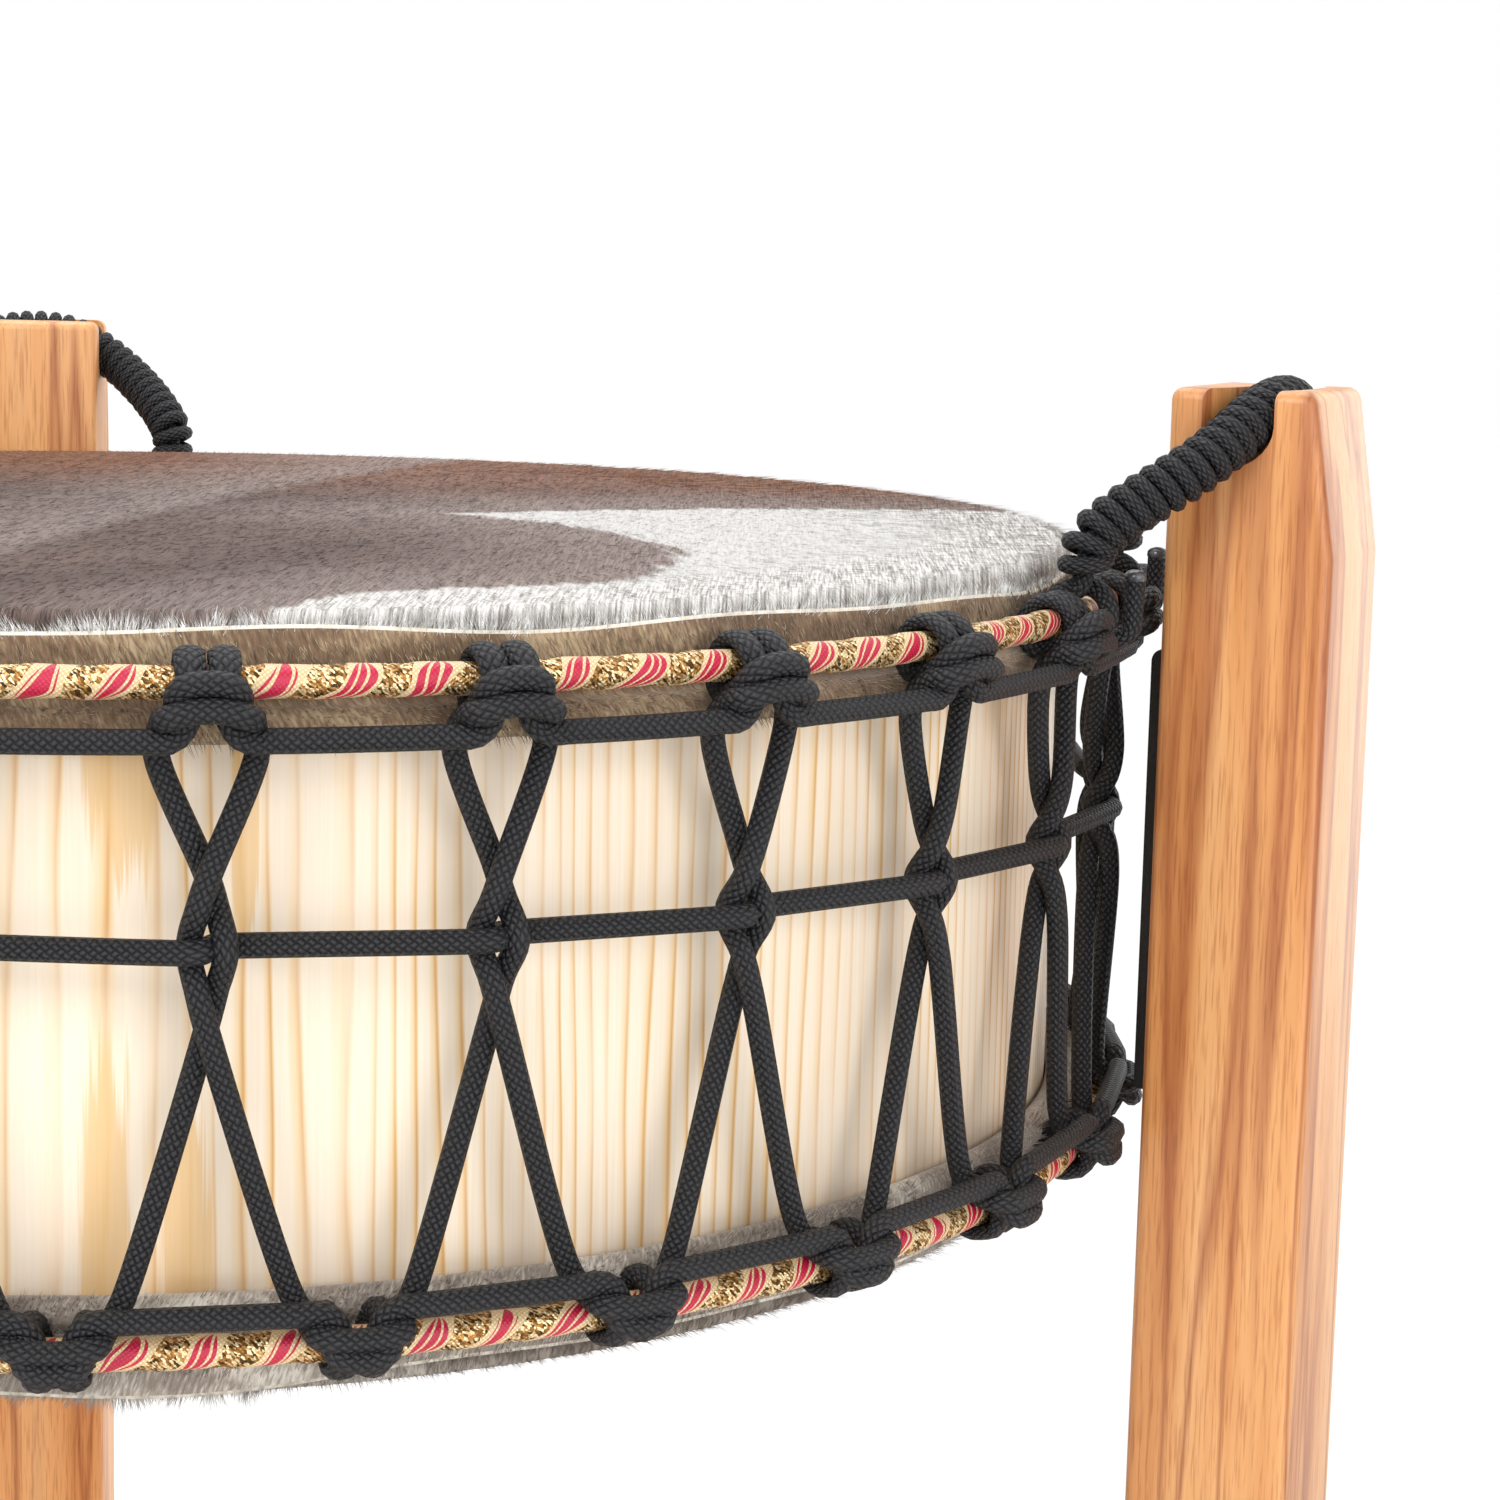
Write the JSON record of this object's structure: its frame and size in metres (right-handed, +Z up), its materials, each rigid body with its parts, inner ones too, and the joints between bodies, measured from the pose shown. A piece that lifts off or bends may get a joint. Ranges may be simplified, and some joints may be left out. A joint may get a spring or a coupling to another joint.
{
  "type": "shaman drum",
  "caption": "Shallow two-headed hoop drum with rope-laced haired hides, hung level by wound rope loops from the notched posts of a low wooden floor stand.",
  "frame": {"origin": "on the floor under the drum's axis, in the middle of the centre foot's underside", "axes": "+Z up along the drum's axis; -Y towards the pictured front, where the first upper hitch is; +X to the right as seen from the front"},
  "size_m": [0.5784, 0.5868, 0.5636],
  "materials": {
    "pine": "oiled",
    "teak": "satin varnish",
    "hair_hide": "haired",
    "pale_hide": "haired",
    "bound_hoop": "steel rod bound in patterned cloth",
    "cord": "braided",
    "steel": "plain",
    "rubber": "matt",
    "beech": "raw"
  },
  "bodies": {
    "stand": {"post_1": "teak", "post_pad_1": "rubber", "base_arm_1": "teak", "coach_screw_1": "steel", "hub_dowel_1": "beech", "foot_1": "rubber", "post_2": "teak", "post_pad_2": "rubber", "base_arm_2": "teak", "coach_screw_2": "steel", "hub_dowel_2": "beech", "foot_2": "rubber", "post_3": "teak", "post_pad_3": "rubber", "base_arm_3": "teak", "coach_screw_3": "steel", "hub_dowel_3": "beech", "foot_3": "rubber", "hub": "teak", "foot_centre": "rubber"},
    "drum": {"stave_1": "pine", "stave_2": "pine", "stave_3": "pine", "stave_4": "pine", "stave_5": "pine", "stave_6": "pine", "stave_7": "pine", "stave_8": "pine", "stave_9": "pine", "stave_10": "pine", "stave_11": "pine", "stave_12": "pine", "stave_13": "pine", "stave_14": "pine", "stave_15": "pine", "stave_16": "pine", "stave_17": "pine", "stave_18": "pine", "head_top": "hair_hide", "flesh_hoop_top": "steel", "crown_hoop_top": "bound_hoop", "cradle_rope_top": "cord", "head_bottom": "pale_hide", "flesh_hoop_bottom": "steel", "crown_hoop_bottom": "bound_hoop", "cradle_rope_bottom": "cord", "lacing_rope": "cord", "waist_rope": "cord", "loop_rope_1": "cord", "loop_winding_1": "cord", "loop_rope_2": "cord", "loop_winding_2": "cord", "loop_rope_3": "cord", "loop_winding_3": "cord"}
  },
  "joints": [
    {"name": "drum_lift", "type": "slide", "parent": "stand", "child": "drum", "axis": [0, 0, 1], "range_m": [0, 0.22]}
  ]
}
